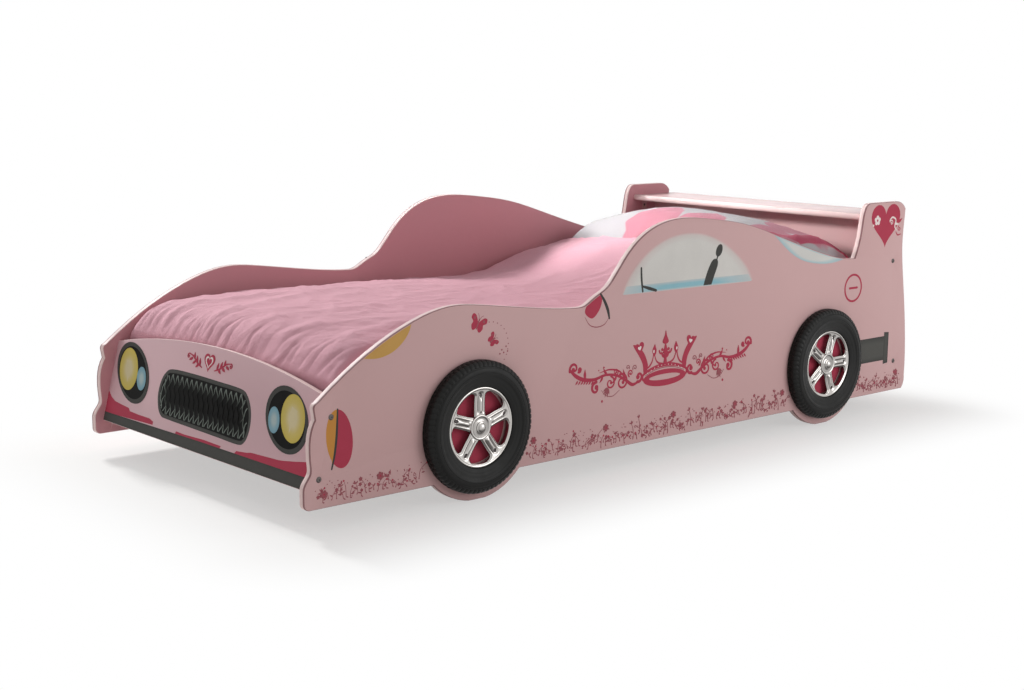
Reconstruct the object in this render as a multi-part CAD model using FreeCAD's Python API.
import FreeCAD, Part
import math
import os

# A child's bed in the shape of a car.  Millimetres, +Z up.
# The origin is on the floor under the middle of the bed.  The car's nose, which is the foot of the
# bed, points to -Y, its tail, which is the head of the bed, to +Y, and its left side is at +X.

# ---------------------------------------------------------------- driving dimensions
# Mattress and the space round it
MATTRESS_WIDTH = 900.0
MATTRESS_LENGTH = 2000.0
MATTRESS_THICKNESS = 120.0
MATTRESS_EDGE_RADIUS = 45.0
SIDE_GAP = 22.0               # beside the mattress, each side
HEAD_GAP = 3.5                # between the mattress and the headboard
FOOT_GAP = 3.5                # between the mattress and the top of the front panel

# Boards
BOARD = 18.0                  # thickness of every board
SILL_HEIGHT = 55.0            # underside of the side panels between the wheels
WAIST_HEIGHT = 427.0          # lowest point of the top edge, at the windscreen
HOOD_HEIGHT = 467.5
ROOF_HEIGHT = 627.0
DECK_HEIGHT = 471.0           # where the roof line meets the fin
FIN_HEIGHT = 628.0

# Wheels
FRONT_AXLE_FROM_NOSE = 480.0
REAR_AXLE_FROM_TAIL = 412.0
TYRE_RADIUS = 158.5
TYRE_ABOVE_FLOOR = 19.5
TYRE_DEPTH = 34.0
TYRE_WALL = 3.0
TYRE_GAP = 1.0                # between the tyre and the side panel
TREAD_NOTCHES = 40
TREAD_NOTCH_WIDTH = 7.0
TREAD_NOTCH_DEPTH = 2.2
RIM_RADIUS = 96.5
RIM_FACE = 24.0               # rim face, from the outside of the side panel
RIM_WALL = 3.5
RIM_LIP = 9.0
SPOKES = 5
SPOKE_WIDTH_HUB = 30.0
SPOKE_WIDTH_RIM = 25.0
SPOKE_THICKNESS = 8.0
SPOKE_GROOVE_WIDTH = 9.0
SPOKE_GROOVE_DEPTH = 2.5
HUB_RADIUS = 28.0
HUB_FACE = 22.0               # hub face, from the outside of the side panel
CAP_RADIUS = 14.0
CAP_HEIGHT = 8.0
CAP_FLANGE = 2.0
CAP_TOP_RADIUS = 4.0
FRONT_SPOKE_ANGLE = 90.0      # one spoke of each front wheel, from +Y towards +Z
REAR_SPOKE_ANGLE = 72.0

# Round feet of the side panels, behind the wheels
FOOT_RADIUS = 182.0
FOOT_FLAT = 50.0              # width that stands on the floor
FOOT_BEHIND_AXLE = 9.0

# Front panel, leaning back between the side panels
FRONT_FOOT_FROM_NOSE = 22.0
FRONT_FOOT_HEIGHT = 91.0
FRONT_LEAN = 14.2             # degrees
FRONT_SIDE_HEIGHT = 211.0     # along the panel
FRONT_CROWN_HEIGHT = 258.0

# Headboard, leaning forward, and the rear wing on top of it
HEAD_FOOT_FROM_TAIL = 56.0    # middle of the board at its lower edge
HEAD_FOOT_HEIGHT = 80.0
HEAD_LEAN = 4.9               # degrees
WING_BELOW_FIN = 34.0
WING_DEPTH = 200.0
WING_FRONT_FROM_TAIL = 211.0
WING_NOSE_RADIUS = 8.5
WING_DOWEL_SHARES = (-0.6, 0.0, 0.6)    # dowel places, as shares of the half width

# Slatted base
RAIL_THICKNESS = 28.0
RAIL_HEIGHT = 50.0
RAIL_END_GAP = 1.5
SLAT_COUNT = 14
SLAT_WIDTH = 70.0
SLAT_THICKNESS = 12.0
SLAT_SIDE_GAP = 2.0
SLAT_END_MARGIN = 20.0
SLAT_TOP_ABOVE_AXLE = 39.0    # the wheel bolts go through the rails
STRAP_WIDTH = 25.0
STRAP_THICKNESS = 1.5
STRAP_FROM_SIDE = 140.0

# Fasteners
BOLT_RADIUS = 3.0
BOLT_LENGTH = 52.0
BOLT_HEAD_RADIUS = 7.0
BOLT_HEAD_HEIGHT = 2.6
BOLT_SOCKET_FLATS = 4.0
BOLT_CLEARANCE = 0.25
BARREL_RADIUS = 5.0
BARREL_LENGTH = 13.0
BARREL_FROM_EDGE = 30.0
FRONT_BOLT_HEIGHTS = (121.0, 255.0)
HEAD_BOLT_HEIGHTS = (145.0, 451.0)
DOWEL_RADIUS = 4.0
DOWEL_IN_SIDE = 10.0
DOWEL_IN_BOARD = 22.0
FRONT_DOWEL_HEIGHTS = (188.0,)
HEAD_DOWEL_HEIGHTS = (245.0, 350.0)
WOOD_SCREW_RADIUS = 2.0
WOOD_SCREW_HEAD = 4.0
RAIL_SCREW_COUNT = 6
RAIL_SCREW_MARGIN = 60.0      # from the ends of a rail
RAIL_SCREW_BITE = 11.0
SLAT_SCREW_BITE = 25.0
BRACKET_LEG = 30.0
BRACKET_WIDTH = 20.0
BRACKET_PLATE = 2.0
BRACKET_HOLE_FROM_BEND = 18.0
BRACKET_SCREW_BITE = 11.0
AXLE_RADIUS = 4.0
AXLE_RUNNING_FIT = 0.08
AXLE_HEAD_RADIUS = 7.5
AXLE_HEAD_HEIGHT = 4.0
AXLE_NUT_FLATS = 13.0
AXLE_NUT_HEIGHT = 6.5
WASHER_RADIUS = 12.0
WASHER_THICKNESS = 1.6
TURNING_GAP = 0.4             # between the turning wheel and what stands still

# Bedding
DUVET_RISE = 65.0             # duvet's shoulder above the mattress
DUVET_CROWN = 17.0
DUVET_PANEL_GAP = 3.0
DUVET_FOOT_GAP = 2.5          # between the duvet and the top of the front panel
DUVET_TUCK = 55.0             # how far the duvet's sides reach below the mattress top
DUVET_HEAD_FROM_HEADBOARD = 512.0
PILLOW_LENGTH = 800.0
PILLOW_FROM_MATTRESS_EDGE = 20.0
PILLOW_WING_GAP = 11.0        # between the pillow's top and the wing above it

# ---------------------------------------------------------------- places worked out from them
INNER_WIDTH = MATTRESS_WIDTH + 2 * SIDE_GAP
OUTER_WIDTH = INNER_WIDTH + 2 * BOARD
INSIDE = INNER_WIDTH / 2
OUTSIDE = OUTER_WIDTH / 2
FRONT_TILT = math.radians(FRONT_LEAN)
HEAD_TILT = math.radians(HEAD_LEAN)
AXLE_HEIGHT = TYRE_RADIUS + TYRE_ABOVE_FLOOR
SLAT_TOP = AXLE_HEIGHT + SLAT_TOP_ABOVE_AXLE
SLAT_BOTTOM = SLAT_TOP - SLAT_THICKNESS
RAIL_BOTTOM = SLAT_BOTTOM - RAIL_HEIGHT
RAIL_MIDDLE = SLAT_BOTTOM - RAIL_HEIGHT / 2
MATTRESS_TOP = SLAT_TOP + MATTRESS_THICKNESS
WING_TOP = FIN_HEIGHT - WING_BELOW_FIN
WING_BOTTOM = WING_TOP - BOARD
PILLOW_WIDTH = MATTRESS_WIDTH - 2 * PILLOW_FROM_MATTRESS_EDGE
PILLOW_HEIGHT = WING_BOTTOM - MATTRESS_TOP - PILLOW_WING_GAP

# The boards at both ends and the mattress between them give the length of the side panels.
HEAD_BLOCK = (HEAD_FOOT_FROM_TAIL + (MATTRESS_TOP - HEAD_FOOT_HEIGHT) * math.tan(HEAD_TILT)
              + BOARD / 2 / math.cos(HEAD_TILT))
FRONT_BLOCK = (FRONT_FOOT_FROM_NOSE + FRONT_CROWN_HEIGHT * math.sin(FRONT_TILT)
               + BOARD / math.cos(FRONT_TILT))
PANEL_LENGTH = FRONT_BLOCK + FOOT_GAP + MATTRESS_LENGTH + HEAD_GAP + HEAD_BLOCK
NOSE = -PANEL_LENGTH / 2
TAIL = PANEL_LENGTH / 2
FRONT_AXLE = NOSE + FRONT_AXLE_FROM_NOSE
REAR_AXLE = TAIL - REAR_AXLE_FROM_TAIL
WING_FRONT = TAIL - WING_FRONT_FROM_TAIL
SIDES = {"left": 1.0, "right": -1.0}
AXLES = {"front": FRONT_AXLE, "rear": REAR_AXLE}

X = FreeCAD.Vector(1, 0, 0)
Z = FreeCAD.Vector(0, 0, 1)
ORIGIN = FreeCAD.Vector(0, 0, 0)

nodes = {}


# ---------------------------------------------------------------- small helpers
def vec(x, y, z):
    return FreeCAD.Vector(x, y, z)


def box(x0, x1, y0, y1, z0, z1):
    """A box between two corners."""
    return Part.makeBox(x1 - x0, y1 - y0, z1 - z0, vec(x0, y0, z0))


def rod(radius, start, end):
    """A round bar between two points."""
    return Part.makeCylinder(radius, (end - start).Length, start, end - start)


def line(a, b):
    return Part.LineSegment(a, b).toShape()


def arc(a, b, c):
    return Part.Arc(a, b, c).toShape()


def curve(points):
    """A smooth curve through a few points."""
    spline = Part.BSplineCurve()
    spline.interpolate(points)
    return spline.toShape()


def union(shapes):
    """One solid out of several that overlap."""
    first = shapes[0]
    return first.fuse(shapes[1:]).removeSplitter()


def mirrored(shape):
    """The same piece on the right side of the bed."""
    return shape.mirror(ORIGIN, X)


def on_side(shape, side):
    return shape if side > 0 else mirrored(shape)


def revolved(profile):
    """Turn a closed profile of (depth, radius) points about the X axis."""
    points = [vec(depth, 0, radius) for depth, radius in profile]
    wire = Part.makePolygon(points + points[:1])
    return Part.Face(wire).revolve(ORIGIN, X, 360)


# ---------------------------------------------------------------- where the leaning boards stand
def front_face_y(z):
    """Outside of the front panel at height z."""
    return NOSE + FRONT_FOOT_FROM_NOSE + (z - FRONT_FOOT_HEIGHT) * math.tan(FRONT_TILT)


def front_inside_y(z):
    return front_face_y(z) + BOARD / math.cos(FRONT_TILT)


def front_middle_y(z):
    return front_face_y(z) + BOARD / 2 / math.cos(FRONT_TILT)


def head_middle_y(z):
    """Middle of the headboard's thickness at height z."""
    return TAIL - HEAD_FOOT_FROM_TAIL - (z - HEAD_FOOT_HEIGHT) * math.tan(HEAD_TILT)


def head_inside_y(z):
    return head_middle_y(z) - BOARD / 2 / math.cos(HEAD_TILT)


FRONT_NORMAL = vec(0, math.cos(FRONT_TILT), -math.sin(FRONT_TILT))   # out of the inside face
HEAD_NORMAL = vec(0, -math.cos(HEAD_TILT), -math.sin(HEAD_TILT))     # out of the inside face
FRONT_TOP = FRONT_FOOT_HEIGHT + FRONT_CROWN_HEIGHT * math.cos(FRONT_TILT)

# Bolts through the side panels into the ends of the two boards, and dowels between them:
# the board's middle, the height, and for a bolt the way its barrel nut goes in
FRONT_BOLTS = [(front_middle_y(z), z, FRONT_NORMAL) for z in FRONT_BOLT_HEIGHTS]
HEAD_BOLTS = [(head_middle_y(z), z, HEAD_NORMAL) for z in HEAD_BOLT_HEIGHTS]
BOLT_SPOTS = FRONT_BOLTS + HEAD_BOLTS
FRONT_DOWELS = [(front_middle_y(z), z) for z in FRONT_DOWEL_HEIGHTS]
HEAD_DOWELS = [(head_middle_y(z), z) for z in HEAD_DOWEL_HEIGHTS]
DOWEL_SPOTS = FRONT_DOWELS + HEAD_DOWELS


# ---------------------------------------------------------------- side panels
BODY_DRAWN_LENGTH = 1859.0    # hood tip to deck, as the body's outline is drawn below
NOSE_BLOCK = 66.0             # the nose edge keeps its shape when the panel gets longer
TAIL_BLOCK = 273.0            # and so does the fin
BODY_STRETCH = (PANEL_LENGTH - NOSE_BLOCK - TAIL_BLOCK) / BODY_DRAWN_LENGTH


def at_nose(distance, z):
    """A point of the nose edge, measured from the foremost point."""
    return vec(0, NOSE + distance, z)


def at_body(distance, z):
    """A point of the hood or cabin, measured back from the end of the nose edge."""
    return vec(0, NOSE + NOSE_BLOCK + distance * BODY_STRETCH, z)


def at_tail(distance, z):
    """A point of the fin, measured from the rearmost point."""
    return vec(0, TAIL - distance, z)


def foot_arc(axle):
    """The round foot under a wheel: where it leaves the sill, and its flat on the floor."""
    centre_y = axle + FOOT_BEHIND_AXLE
    centre_z = math.sqrt(FOOT_RADIUS ** 2 - (FOOT_FLAT / 2) ** 2)
    reach = math.sqrt(FOOT_RADIUS ** 2 - (centre_z - SILL_HEIGHT) ** 2)
    half_flat = FOOT_FLAT / 2
    turn = (math.asin(reach / FOOT_RADIUS) + math.asin(half_flat / FOOT_RADIUS)) / 2
    side = FOOT_RADIUS * math.sin(turn)
    depth = centre_z - FOOT_RADIUS * math.cos(turn)
    back = arc(vec(0, centre_y + reach, SILL_HEIGHT), vec(0, centre_y + side, depth),
               vec(0, centre_y + half_flat, 0))
    flat = line(vec(0, centre_y + half_flat, 0), vec(0, centre_y - half_flat, 0))
    front = arc(vec(0, centre_y - half_flat, 0), vec(0, centre_y - side, depth),
                vec(0, centre_y - reach, SILL_HEIGHT))
    return [back, flat, front], centre_y - reach, centre_y + reach


def side_outline():
    """The car's silhouette, from the nose over the roof to the fin and back along the sill."""
    lip_low = at_nose(0, 70)
    lip_high = at_nose(0, 100)
    corner = at_nose(13, SILL_HEIGHT)
    nose_top = at_nose(33, 253)
    hood_corner = at_nose(29, 276)
    hood_tip = at_nose(38, 290)
    waist = at_body(749, WAIST_HEIGHT)
    deck = at_body(BODY_DRAWN_LENGTH, DECK_HEIGHT)
    fin_front = at_tail(206, FIN_HEIGHT)
    fin_rear = at_tail(79, FIN_HEIGHT)
    fin_corner = at_tail(36, FIN_HEIGHT - 23)
    tail_low = at_tail(1, 95)
    tail_corner = at_tail(13, SILL_HEIGHT)
    edges = [
        arc(corner, at_nose(3.8, 60), lip_low),
        line(lip_low, lip_high),
        curve([lip_high, at_nose(8, 119), at_nose(19, 136), at_nose(19, 155), at_nose(17, 185),
               at_nose(19, 216), nose_top]),
        line(nose_top, hood_corner),
        arc(hood_corner, at_nose(31, 285), hood_tip),
        curve([hood_tip, at_body(25, 330), at_body(112, 386), at_body(195, 427),
               at_body(280, 457), at_body(345, HOOD_HEIGHT), at_body(443, 461),
               at_body(568, 444), at_body(680, 431), waist]),
        curve([waist, at_body(772, 431), at_body(801, 447), at_body(839, 465), at_body(877, 502),
               at_body(925, 556), at_body(963, 586), at_body(1017, 612),
               at_body(1095, ROOF_HEIGHT), at_body(1227, 620), at_body(1363, 599),
               at_body(1511, 556), at_body(1691, 501), at_body(1800, 476), deck]),
        curve([deck, at_tail(261, 498), at_tail(247, 545), at_tail(237, 598),
               at_tail(226, FIN_HEIGHT - 8), fin_front]),
        line(fin_front, fin_rear),
        arc(fin_rear, at_tail(55, FIN_HEIGHT - 6), fin_corner),
        curve([fin_corner, at_tail(41, 550), at_tail(43, 500), at_tail(38, 444),
               at_tail(19, 327), at_tail(5, 215), at_tail(0.4, 140), tail_low]),
        arc(tail_low, at_tail(4, 68), tail_corner),
    ]
    rear_foot, rear_start, rear_end = foot_arc(REAR_AXLE)
    front_foot, front_start, front_end = foot_arc(FRONT_AXLE)
    edges.append(line(tail_corner, vec(0, rear_end, SILL_HEIGHT)))
    edges.extend(rear_foot)
    edges.append(line(vec(0, rear_start, SILL_HEIGHT), vec(0, front_end, SILL_HEIGHT)))
    edges.extend(front_foot)
    edges.append(line(vec(0, front_start, SILL_HEIGHT), corner))
    return Part.Wire(edges)


def side_panel():
    """The left side panel, with the holes for everything that goes through or into it."""
    face = Part.Face(side_outline())
    face.translate(vec(INSIDE, 0, 0))
    panel = face.extrude(vec(BOARD, 0, 0))
    tools = []
    for y, z, _ in BOLT_SPOTS:
        hole = rod(BOLT_RADIUS + BOLT_CLEARANCE, vec(INSIDE - 1, y, z), vec(OUTSIDE + 1, y, z))
        tools.append(hole)
    for y, z in DOWEL_SPOTS:
        tools.append(rod(DOWEL_RADIUS, vec(INSIDE - 1, y, z), vec(INSIDE + DOWEL_IN_SIDE, y, z)))
    for y in AXLES.values():
        start = vec(INSIDE - 1, y, AXLE_HEIGHT)
        tools.append(rod(AXLE_RADIUS, start, vec(OUTSIDE + 1, y, AXLE_HEIGHT)))
    for y in rail_screw_places():
        end = vec(INSIDE + RAIL_SCREW_BITE, y, RAIL_MIDDLE)
        tools.append(rod(WOOD_SCREW_RADIUS, vec(INSIDE - 1, y, RAIL_MIDDLE), end))
    _, sideways = bracket_screw_places()
    end = vec(INSIDE + BRACKET_SCREW_BITE, sideways.y, sideways.z)
    tools.append(rod(WOOD_SCREW_RADIUS, vec(INSIDE - 1, sideways.y, sideways.z), end))
    return panel.cut(tools)


# ---------------------------------------------------------------- front panel, headboard and wing
def connector_cuts(y, z, inside_normal):
    """Holes for a bolt and its barrel nut in the end of a board, on both sides of the bed."""
    cuts = []
    for side in SIDES.values():
        bolt_end = vec(side * (OUTSIDE - BOLT_LENGTH - 1), y, z)
        cuts.append(rod(BOLT_RADIUS + BOLT_CLEARANCE, vec(side * (INSIDE + 1), y, z), bolt_end))
        seat = vec(side * (INSIDE - BARREL_FROM_EDGE), y, z)
        deep = seat - inside_normal * (BARREL_LENGTH - BOARD / 2)
        cuts.append(rod(BARREL_RADIUS, deep, seat + inside_normal * BOARD))
    return cuts


def dowel_cuts(y, z):
    """Blind holes for a dowel in both ends of a board."""
    cuts = []
    for side in SIDES.values():
        start = vec(side * (INSIDE + 1), y, z)
        cuts.append(rod(DOWEL_RADIUS, start, vec(side * (INSIDE - DOWEL_IN_BOARD), y, z)))
    return cuts


def front_panel():
    """The car's face: straight sides and lower edge, arched top, leaning back."""
    low = [vec(-INSIDE, 0, 0), vec(INSIDE, 0, 0)]
    high = [vec(INSIDE, 0, FRONT_SIDE_HEIGHT), vec(-INSIDE, 0, FRONT_SIDE_HEIGHT)]
    crown = vec(0, 0, FRONT_CROWN_HEIGHT)
    edges = [line(low[0], low[1]), line(low[1], high[0]), arc(high[0], crown, high[1]),
             line(high[1], low[0])]
    panel = Part.Face(Part.Wire(edges)).extrude(vec(0, BOARD, 0))
    panel.rotate(ORIGIN, X, -FRONT_LEAN)
    panel.translate(vec(0, front_face_y(FRONT_FOOT_HEIGHT), FRONT_FOOT_HEIGHT))
    cuts = []
    for y, z, normal in FRONT_BOLTS:
        cuts.extend(connector_cuts(y, z, normal))
    for y, z in FRONT_DOWELS:
        cuts.extend(dowel_cuts(y, z))
    return panel.cut(cuts)


def wing_dowel_places():
    """Dowels between the headboard's top edge and the wing."""
    y = head_middle_y(WING_BOTTOM)
    return [vec(share * INSIDE, y, WING_BOTTOM) for share in WING_DOWEL_SHARES]


def headboard():
    """The board at the head end, leaning forward, cut level under the wing."""
    height = WING_BOTTOM - HEAD_FOOT_HEIGHT
    board = box(-INSIDE, INSIDE, -BOARD / 2, BOARD / 2, 0, height + BOARD)
    board.rotate(ORIGIN, X, HEAD_LEAN)
    board.translate(vec(0, head_middle_y(HEAD_FOOT_HEIGHT), HEAD_FOOT_HEIGHT))
    above = box(-OUTSIDE, OUTSIDE, TAIL - MATTRESS_LENGTH, TAIL, WING_BOTTOM, WING_TOP + BOARD)
    cuts = [above]
    for y, z, normal in HEAD_BOLTS:
        cuts.extend(connector_cuts(y, z, normal))
    for y, z in HEAD_DOWELS:
        cuts.extend(dowel_cuts(y, z))
    for place in wing_dowel_places():
        cuts.append(rod(DOWEL_RADIUS, place - Z * DOWEL_IN_BOARD, place + Z))
    return board.cut(cuts)


def bracket_screw_places():
    """Left bracket of the wing: its screw up into the wing and its screw into the side panel."""
    y = (WING_FRONT + head_inside_y(WING_BOTTOM)) / 2
    upward = vec(INSIDE - BRACKET_HOLE_FROM_BEND, y, WING_BOTTOM)
    sideways = vec(INSIDE, y, WING_BOTTOM - BRACKET_HOLE_FROM_BEND)
    return upward, sideways


def rear_wing():
    """The wing board between the two fins, with a rounded front edge."""
    wing = box(-INSIDE, INSIDE, WING_FRONT, WING_FRONT + WING_DEPTH, WING_BOTTOM, WING_TOP)
    front_edges = [edge for edge in wing.Edges
                   if edge.BoundBox.YMax < WING_FRONT + 1 and edge.BoundBox.XLength > INSIDE]
    wing = wing.makeFillet(WING_NOSE_RADIUS, front_edges)
    cuts = [rod(DOWEL_RADIUS, place - Z, place + Z * DOWEL_IN_SIDE)
            for place in wing_dowel_places()]
    upward, _ = bracket_screw_places()
    for side in SIDES.values():
        start = vec(side * upward.x, upward.y, upward.z - 1)
        cuts.append(rod(WOOD_SCREW_RADIUS, start, start + Z * (BRACKET_SCREW_BITE + 1)))
    return wing.cut(cuts)


# ---------------------------------------------------------------- slatted base
RAIL_FRONT = front_inside_y(SLAT_BOTTOM) + RAIL_END_GAP
RAIL_REAR = head_inside_y(SLAT_BOTTOM) - RAIL_END_GAP


def rail_screw_places():
    """Screws along a rail, kept clear of the wheel bolts that also go through it."""
    step = (RAIL_REAR - RAIL_FRONT - 2 * RAIL_SCREW_MARGIN) / (RAIL_SCREW_COUNT - 1)
    places = [RAIL_FRONT + RAIL_SCREW_MARGIN + i * step for i in range(RAIL_SCREW_COUNT)]
    clear = WASHER_RADIUS + 2 * WOOD_SCREW_HEAD
    moved = []
    for y in places:
        for axle in AXLES.values():
            if abs(y - axle) < clear:
                y = axle + clear
        moved.append(y)
    return moved


def slat_places():
    """Middle of each slat along the bed."""
    first = RAIL_FRONT + SLAT_END_MARGIN + SLAT_WIDTH / 2
    last = RAIL_REAR - SLAT_END_MARGIN - SLAT_WIDTH / 2
    return [first + (last - first) * i / (SLAT_COUNT - 1) for i in range(SLAT_COUNT)]


def wood_screw(head, direction, length):
    """A countersunk wood screw: its head's middle, and the way it points."""
    cone = Part.makeCone(WOOD_SCREW_HEAD, WOOD_SCREW_RADIUS, WOOD_SCREW_HEAD / 2, head, direction)
    shank = rod(WOOD_SCREW_RADIUS, head, head + direction * length)
    return cone.fuse(shank).removeSplitter()


def rail_screws_left():
    length = RAIL_THICKNESS + RAIL_SCREW_BITE
    return [wood_screw(vec(INSIDE - RAIL_THICKNESS, y, RAIL_MIDDLE), X, length)
            for y in rail_screw_places()]


def slat_screws_left():
    """The first and the last slat are screwed down on the rail."""
    x = INSIDE - RAIL_THICKNESS / 2
    length = SLAT_THICKNESS + SLAT_SCREW_BITE
    ends = (slat_places()[0], slat_places()[-1])
    return [wood_screw(vec(x, y, SLAT_TOP), -Z, length) for y in ends]


def side_rail():
    """The left rail that carries the slats."""
    rail = box(INSIDE - RAIL_THICKNESS, INSIDE, RAIL_FRONT, RAIL_REAR, RAIL_BOTTOM, SLAT_BOTTOM)
    cuts = rail_screws_left() + slat_screws_left()
    for y in AXLES.values():
        start = vec(INSIDE - RAIL_THICKNESS - 1, y, AXLE_HEIGHT)
        cuts.append(rod(AXLE_RADIUS, start, vec(INSIDE + 1, y, AXLE_HEIGHT)))
    return rail.cut(cuts)


def slat(y, end):
    """One slat; the end ones have the holes of their screws."""
    half = INSIDE - SLAT_SIDE_GAP
    board = box(-half, half, y - SLAT_WIDTH / 2, y + SLAT_WIDTH / 2, SLAT_BOTTOM, SLAT_TOP)
    long_edges = [edge for edge in board.Edges if edge.BoundBox.XLength > INSIDE]
    board = board.makeFillet(SLAT_THICKNESS / 4, long_edges)
    if end:
        screws = slat_screws_left()
        board = board.cut(screws + [mirrored(screw) for screw in screws])
    return board


def slat_strap(side):
    """The webbing under the slats that keeps them apart."""
    middle = side * (INSIDE - STRAP_FROM_SIDE)
    first = slat_places()[0] - SLAT_WIDTH / 2
    last = slat_places()[-1] + SLAT_WIDTH / 2
    half = STRAP_WIDTH / 2
    return box(middle - half, middle + half, first, last, SLAT_BOTTOM - STRAP_THICKNESS,
               SLAT_BOTTOM)


# ---------------------------------------------------------------- fasteners
def connector_bolt(y, z):
    """A low round-headed bolt through the left side panel."""
    head = Part.makeCone(BOLT_HEAD_RADIUS, BOLT_HEAD_RADIUS * 0.6, BOLT_HEAD_HEIGHT,
                         vec(OUTSIDE, y, z), X)
    shank = rod(BOLT_RADIUS, vec(OUTSIDE - BOLT_LENGTH, y, z), vec(OUTSIDE + 1, y, z))
    socket_start = vec(OUTSIDE + BOLT_HEAD_HEIGHT / 2, y, z)
    socket = hexagon(BOLT_SOCKET_FLATS, BOLT_HEAD_HEIGHT, socket_start)
    return union([head, shank]).cut(socket)


def hexagon(flats, height, place):
    """A six-sided bar along +X."""
    radius = flats / math.sqrt(3)
    corners = [math.radians(60 * i) for i in range(6)]
    points = [vec(0, radius * math.cos(turn), radius * math.sin(turn)) for turn in corners]
    bar = Part.Face(Part.makePolygon(points + points[:1])).extrude(vec(height, 0, 0))
    bar.translate(place)
    return bar


def barrel_nut(y, z, inside_normal):
    """The cross nut in the board, which the bolt screws into."""
    seat = vec(INSIDE - BARREL_FROM_EDGE, y, z)
    deep = seat - inside_normal * (BARREL_LENGTH - BOARD / 2)
    barrel = rod(BARREL_RADIUS, deep, deep + inside_normal * BARREL_LENGTH)
    bolt = rod(BOLT_RADIUS, vec(OUTSIDE - BOLT_LENGTH, y, z), vec(OUTSIDE, y, z))
    return barrel.cut(bolt)


def board_dowel(y, z):
    return rod(DOWEL_RADIUS, vec(INSIDE - DOWEL_IN_BOARD, y, z), vec(INSIDE + DOWEL_IN_SIDE, y, z))


def wing_bracket():
    """A steel angle under the left end of the wing."""
    upward, _ = bracket_screw_places()
    y0 = upward.y - BRACKET_WIDTH / 2
    y1 = upward.y + BRACKET_WIDTH / 2
    flat = box(INSIDE - BRACKET_LEG, INSIDE, y0, y1, WING_BOTTOM - BRACKET_PLATE, WING_BOTTOM)
    upright = box(INSIDE - BRACKET_PLATE, INSIDE, y0, y1, WING_BOTTOM - BRACKET_LEG, WING_BOTTOM)
    return union([flat, upright]).cut(bracket_screws())


def bracket_screws():
    upward, sideways = bracket_screw_places()
    length = BRACKET_PLATE + BRACKET_SCREW_BITE
    return [wood_screw(upward - Z * BRACKET_PLATE, Z, length),
            wood_screw(sideways - X * BRACKET_PLATE, X, length)]


# ---------------------------------------------------------------- wheels, drawn about the X axis
# Depth 0 is the outside of the side panel, and grows outwards.
def tyre():
    """A hollow ring, open towards the panel, with a stepped side wall and a notched shoulder."""
    seat = RIM_RADIUS
    wall = TYRE_WALL
    face = TYRE_DEPTH

    def level(share):
        """Radius of a point of the side wall, as a share of the way from the rim to the tread."""
        return seat + (TYRE_RADIUS - seat) * share

    outer = [
        (TYRE_GAP, TYRE_RADIUS - 2), (TYRE_GAP + 4, TYRE_RADIUS), (face - 12, TYRE_RADIUS),
        (face - 7, level(0.97)), (face - 3, level(0.89)), (face - 2, level(0.81)),
        (face - 0.5, level(0.79)), (face, level(0.65)), (face - 0.5, level(0.45)),
        (face - 2, level(0.42)), (face - 4, level(0.19)), (RIM_FACE + 2.5, seat + 1.5),
        (RIM_FACE + 1, seat),
    ]
    inner = [
        (TYRE_GAP + 1, seat), (TYRE_GAP + 1, seat + wall), (RIM_FACE - wall, seat + wall),
        (face - 4 - wall, level(0.23)), (face - wall, level(0.48)), (face - 6, level(0.79)),
        (face - 10, level(0.90)), (face - 13, TYRE_RADIUS - wall),
        (TYRE_GAP, TYRE_RADIUS - wall),
    ]
    ring = revolved(outer + inner)
    notch = box(TYRE_GAP + 8, TYRE_DEPTH, -TREAD_NOTCH_WIDTH / 2, TREAD_NOTCH_WIDTH / 2,
                TYRE_RADIUS - TREAD_NOTCH_DEPTH, TYRE_RADIUS + TREAD_NOTCH_DEPTH)
    notches = []
    for i in range(TREAD_NOTCHES):
        copy = notch.copy()
        copy.rotate(ORIGIN, X, 360.0 * i / TREAD_NOTCHES)
        notches.append(copy)
    return ring.cut(notches)


def spoke():
    """One tapered spoke along +Z, grooved down its middle."""
    back = HUB_FACE - SPOKE_THICKNESS
    reach = RIM_RADIUS - RIM_WALL / 2
    start = HUB_RADIUS * 0.6
    half_hub = SPOKE_WIDTH_HUB / 2
    half_rim = SPOKE_WIDTH_RIM / 2
    corners = [vec(back, -half_hub, start), vec(back, half_hub, start),
               vec(back, half_rim, reach), vec(back, -half_rim, reach)]
    bar = Part.Face(Part.makePolygon(corners + corners[:1])).extrude(vec(SPOKE_THICKNESS, 0, 0))
    inner = HUB_RADIUS + 6
    outer = RIM_RADIUS - RIM_LIP - 8
    half = SPOKE_GROOVE_WIDTH / 2
    depth = SPOKE_GROOVE_DEPTH
    groove = box(HUB_FACE - depth, HUB_FACE + 1, -half, half, inner, outer)
    return bar.cut(groove)


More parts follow.
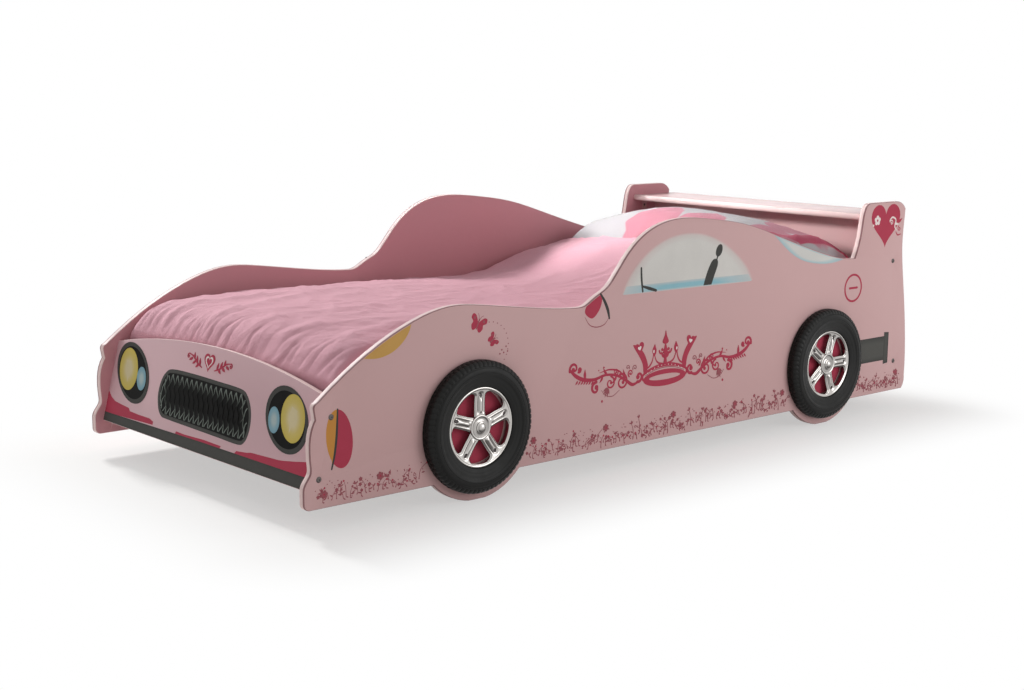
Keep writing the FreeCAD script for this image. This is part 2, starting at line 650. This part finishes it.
def rim(spoke_angle):
    """The five-spoke rim with its barrel, outer lip and hub."""
    barrel = revolved([
        (TYRE_GAP + 1, RIM_RADIUS - RIM_WALL), (RIM_FACE - 5, RIM_RADIUS - RIM_LIP),
        (RIM_FACE - 1, RIM_RADIUS - RIM_LIP), (RIM_FACE, RIM_RADIUS - RIM_LIP + 2),
        (RIM_FACE, RIM_RADIUS - 1), (RIM_FACE - 1, RIM_RADIUS), (TYRE_GAP + 1, RIM_RADIUS)])
    hub_back = WASHER_THICKNESS + TURNING_GAP
    hub = revolved([
        (hub_back, 0), (hub_back, HUB_RADIUS - 6), (HUB_FACE - SPOKE_THICKNESS, HUB_RADIUS),
        (HUB_FACE + 1, HUB_RADIUS), (HUB_FACE + 1, HUB_RADIUS - 4),
        (HUB_FACE - 1.5, HUB_RADIUS - 7),
        (HUB_FACE - 1.5, CAP_RADIUS + 1.5), (HUB_FACE, CAP_RADIUS), (HUB_FACE, 0)])
    parts = [barrel, hub]
    for i in range(SPOKES):
        copy = spoke()
        copy.rotate(ORIGIN, X, spoke_angle - 90 + 360.0 * i / SPOKES)
        parts.append(copy)
    bore = rod(AXLE_RADIUS + AXLE_RUNNING_FIT, vec(-1, 0, 0), vec(HUB_FACE + 2, 0, 0))
    head_seat = HUB_FACE - CAP_FLANGE - AXLE_HEAD_HEIGHT - 2 * TURNING_GAP
    head_room = rod(AXLE_HEAD_RADIUS + TURNING_GAP, vec(head_seat, 0, 0), vec(HUB_FACE + 2, 0, 0))
    cap_seat = rod(CAP_RADIUS - 2, vec(HUB_FACE - CAP_FLANGE, 0, 0), vec(HUB_FACE + 2, 0, 0))
    return union(parts).cut([bore, head_room, cap_seat])


def hub_cap():
    """The domed cap that snaps into the hub over the bolt head."""
    stem = CAP_RADIUS - 2
    profile = [vec(HUB_FACE - CAP_FLANGE, 0, 0), vec(HUB_FACE - CAP_FLANGE, 0, stem),
               vec(HUB_FACE, 0, stem), vec(HUB_FACE, 0, CAP_RADIUS),
               vec(HUB_FACE + CAP_FLANGE, 0, CAP_RADIUS)]
    edges = [line(a, b) for a, b in zip(profile, profile[1:])]
    shoulder = vec(HUB_FACE + CAP_HEIGHT * 0.8, 0, (CAP_RADIUS + CAP_TOP_RADIUS) / 2)
    top = vec(HUB_FACE + CAP_HEIGHT, 0, CAP_TOP_RADIUS)
    middle = vec(HUB_FACE + CAP_HEIGHT, 0, 0)
    edges.append(arc(profile[-1], shoulder, top))
    edges.append(line(top, middle))
    edges.append(line(middle, profile[0]))
    return Part.Face(Part.Wire(edges)).revolve(ORIGIN, X, 360)


AXLE_HEAD_SEAT = HUB_FACE - CAP_FLANGE - AXLE_HEAD_HEIGHT - TURNING_GAP


def axle_bolt():
    """The bolt a wheel turns on, through hub, side panel and rail."""
    inner_end = -BOARD - RAIL_THICKNESS - WASHER_THICKNESS - AXLE_NUT_HEIGHT - 3
    shank = rod(AXLE_RADIUS, vec(inner_end, 0, 0), vec(AXLE_HEAD_SEAT + 1, 0, 0))
    head = rod(AXLE_HEAD_RADIUS, vec(AXLE_HEAD_SEAT, 0, 0),
               vec(AXLE_HEAD_SEAT + AXLE_HEAD_HEIGHT, 0, 0))
    return union([head, shank])


def washer(depth):
    """A washer whose inner face is at this depth."""
    disc = rod(WASHER_RADIUS, vec(depth, 0, 0), vec(depth + WASHER_THICKNESS, 0, 0))
    hole = rod(AXLE_RADIUS, vec(depth - 1, 0, 0), vec(depth + WASHER_THICKNESS + 1, 0, 0))
    return disc.cut(hole)


def axle_nut():
    depth = -BOARD - RAIL_THICKNESS - WASHER_THICKNESS - AXLE_NUT_HEIGHT
    bar = hexagon(AXLE_NUT_FLATS, AXLE_NUT_HEIGHT, vec(depth, 0, 0))
    return bar.cut(rod(AXLE_RADIUS, vec(depth - 1, 0, 0), vec(depth + AXLE_NUT_HEIGHT + 1, 0, 0)))


def at_wheel(shape, side, axle):
    """Move a piece drawn about the X axis to one of the four wheels."""
    copy = shape.copy()
    copy.translate(vec(OUTSIDE, axle, AXLE_HEIGHT))
    return on_side(copy, side)


# ---------------------------------------------------------------- bedding
def mattress():
    """A foam mattress with rounded edges."""
    rear = head_inside_y(MATTRESS_TOP) - HEAD_GAP
    half = MATTRESS_WIDTH / 2
    block = box(-half, half, rear - MATTRESS_LENGTH, rear, SLAT_TOP, MATTRESS_TOP)
    upper = [edge for edge in block.Edges if edge.BoundBox.ZMin > MATTRESS_TOP - 1]
    return block.makeFillet(MATTRESS_EDGE_RADIUS, upper)


def crowned_section(y, half_width, low, side, crown):
    """A cross section at y: flat below, drawn-in sides, crowned above."""
    shoulder = min(half_width * 0.17, (side - low) * 0.6)
    tuck = shoulder * 0.12
    a = vec(-half_width + tuck, y, low)
    b = vec(half_width - tuck, y, low)
    c = vec(half_width, y, side - shoulder)
    d = vec(half_width - shoulder, y, side)
    e = vec(-half_width + shoulder, y, side)
    f = vec(-half_width, y, side - shoulder)
    bend = shoulder * (1 - math.sqrt(0.5))
    right = arc(c, vec(half_width - bend, y, side - bend), d)
    left = arc(e, vec(-half_width + bend, y, side - bend), f)
    top = arc(d, vec(0, y, side + crown), e)
    return Part.Wire([line(a, b), line(b, c), right, top, left, line(f, a)])


def pillow():
    """A large square pillow, crowned, with thin front and rear edges."""
    rear = head_inside_y(MATTRESS_TOP + PILLOW_HEIGHT) - HEAD_GAP
    front = rear - PILLOW_LENGTH
    half = PILLOW_WIDTH / 2
    low = MATTRESS_TOP
    stations = [
        (0.0, 0.86, 0.10, 0.02), (0.17, 0.95, 0.22, 0.12), (0.30, 0.98, 0.35, 0.12),
        (0.39, 1.0, 0.53, 0.13), (0.43, 1.0, 0.67, 0.14), (0.47, 1.0, 0.78, 0.18),
        (0.53, 1.0, 0.86, 0.23), (0.61, 1.0, 0.89, 0.24), (0.71, 1.0, 0.90, 0.18),
        (0.80, 1.0, 0.83, 0.15), (0.90, 0.98, 0.67, 0.17), (1.0, 0.95, 0.50, 0.26),
    ]
    sections = []
    for along, width, edge, crown in stations:
        y = front + along * PILLOW_LENGTH
        sections.append(crowned_section(y, half * width, low, low + PILLOW_HEIGHT * edge,
                                        PILLOW_HEIGHT * crown))
    return Part.makeLoft(sections, True, True)


def duvet():
    """The quilt over mattress and lower half of the pillow, tucked in at the sides and the foot."""
    half = INSIDE - DUVET_PANEL_GAP
    foot = front_inside_y(FRONT_TOP) + DUVET_FOOT_GAP
    head = head_inside_y(MATTRESS_TOP) - DUVET_HEAD_FROM_HEADBOARD
    length = head - foot
    low = MATTRESS_TOP - DUVET_TUCK
    shoulder = MATTRESS_TOP + DUVET_RISE
    stations = [
        (0.0, -78.0, 0.5), (0.02, -30.0, 0.8), (0.05, -9.0, 0.9), (0.13, 0.0, 1.0),
        (0.26, 6.0, 1.0), (0.39, 3.0, 1.0), (0.55, -3.0, 1.1), (0.72, -9.0, 1.5),
        (0.80, 7.0, 1.8), (0.87, 41.0, 2.0), (0.95, 61.0, 2.1), (1.0, 76.0, 2.0),
    ]
    sections = []
    for along, rise, crown in stations:
        sections.append(crowned_section(foot + along * length, half, low,
                                        shoulder + rise, DUVET_CROWN * crown))
    return Part.makeLoft(sections, True, False).cut([mattress(), pillow()])


# ---------------------------------------------------------------- the nodes
def both_sides(shapes):
    """A group of separate solids, repeated on the right side."""
    return Part.makeCompound(list(shapes) + [mirrored(shape) for shape in shapes])


def build_boards():
    panel = side_panel()
    rail = side_rail()
    for name, side in SIDES.items():
        nodes["side_panel_" + name] = on_side(panel, side)
        nodes["slat_rail_" + name] = on_side(rail, side)
        nodes["slat_strap_" + name] = slat_strap(side)
    nodes["front_panel"] = front_panel()
    nodes["headboard"] = headboard()
    nodes["rear_wing"] = rear_wing()
    places = slat_places()
    for number, y in enumerate(places, 1):
        nodes["slat_%02d" % number] = slat(y, number in (1, len(places)))


def build_fasteners():
    nodes["connector_bolts"] = both_sides([connector_bolt(y, z) for y, z, _ in BOLT_SPOTS])
    nodes["barrel_nuts"] = both_sides([barrel_nut(*spot) for spot in BOLT_SPOTS])
    nodes["board_dowels"] = both_sides([board_dowel(y, z) for y, z in DOWEL_SPOTS])
    nodes["wing_dowels"] = Part.makeCompound(
        [rod(DOWEL_RADIUS, place - Z * DOWEL_IN_BOARD, place + Z * DOWEL_IN_SIDE)
         for place in wing_dowel_places()])
    nodes["wing_brackets"] = both_sides([wing_bracket()])
    nodes["bracket_screws"] = both_sides(bracket_screws())
    nodes["rail_screws"] = both_sides(rail_screws_left())
    nodes["slat_screws"] = both_sides(slat_screws_left())


def build_wheels():
    ring = tyre()
    cap = hub_cap()
    rims = {"front": rim(FRONT_SPOKE_ANGLE), "rear": rim(REAR_SPOKE_ANGLE)}
    bolts = []
    washers = []
    nuts = []
    for end, axle in AXLES.items():
        for name, side in SIDES.items():
            wheel = "wheel_" + end + "_" + name + "_"
            nodes[wheel + "tyre"] = at_wheel(ring, side, axle)
            nodes[wheel + "rim"] = at_wheel(rims[end], side, axle)
            nodes[wheel + "hub_cap"] = at_wheel(cap, side, axle)
            bolts.append(at_wheel(axle_bolt(), side, axle))
            washers.append(at_wheel(washer(0.0), side, axle))
            inner = -BOARD - RAIL_THICKNESS - WASHER_THICKNESS
            washers.append(at_wheel(washer(inner), side, axle))
            nuts.append(at_wheel(axle_nut(), side, axle))
    nodes["axle_bolts"] = Part.makeCompound(bolts)
    nodes["axle_washers"] = Part.makeCompound(washers)
    nodes["axle_nuts"] = Part.makeCompound(nuts)


def build_bedding():
    nodes["mattress"] = mattress()
    nodes["pillow"] = pillow()
    nodes["duvet"] = duvet()


build_boards()
build_fasteners()
build_wheels()
build_bedding()
os.makedirs("parts", exist_ok=True)
for node_name, shape in nodes.items():
    shape.exportStep("parts/" + node_name + ".step")
    print(node_name, len(shape.Solids), "valid" if shape.isValid() else "NOT VALID",
          round(shape.Volume / 1000.0, 1), "cm3")
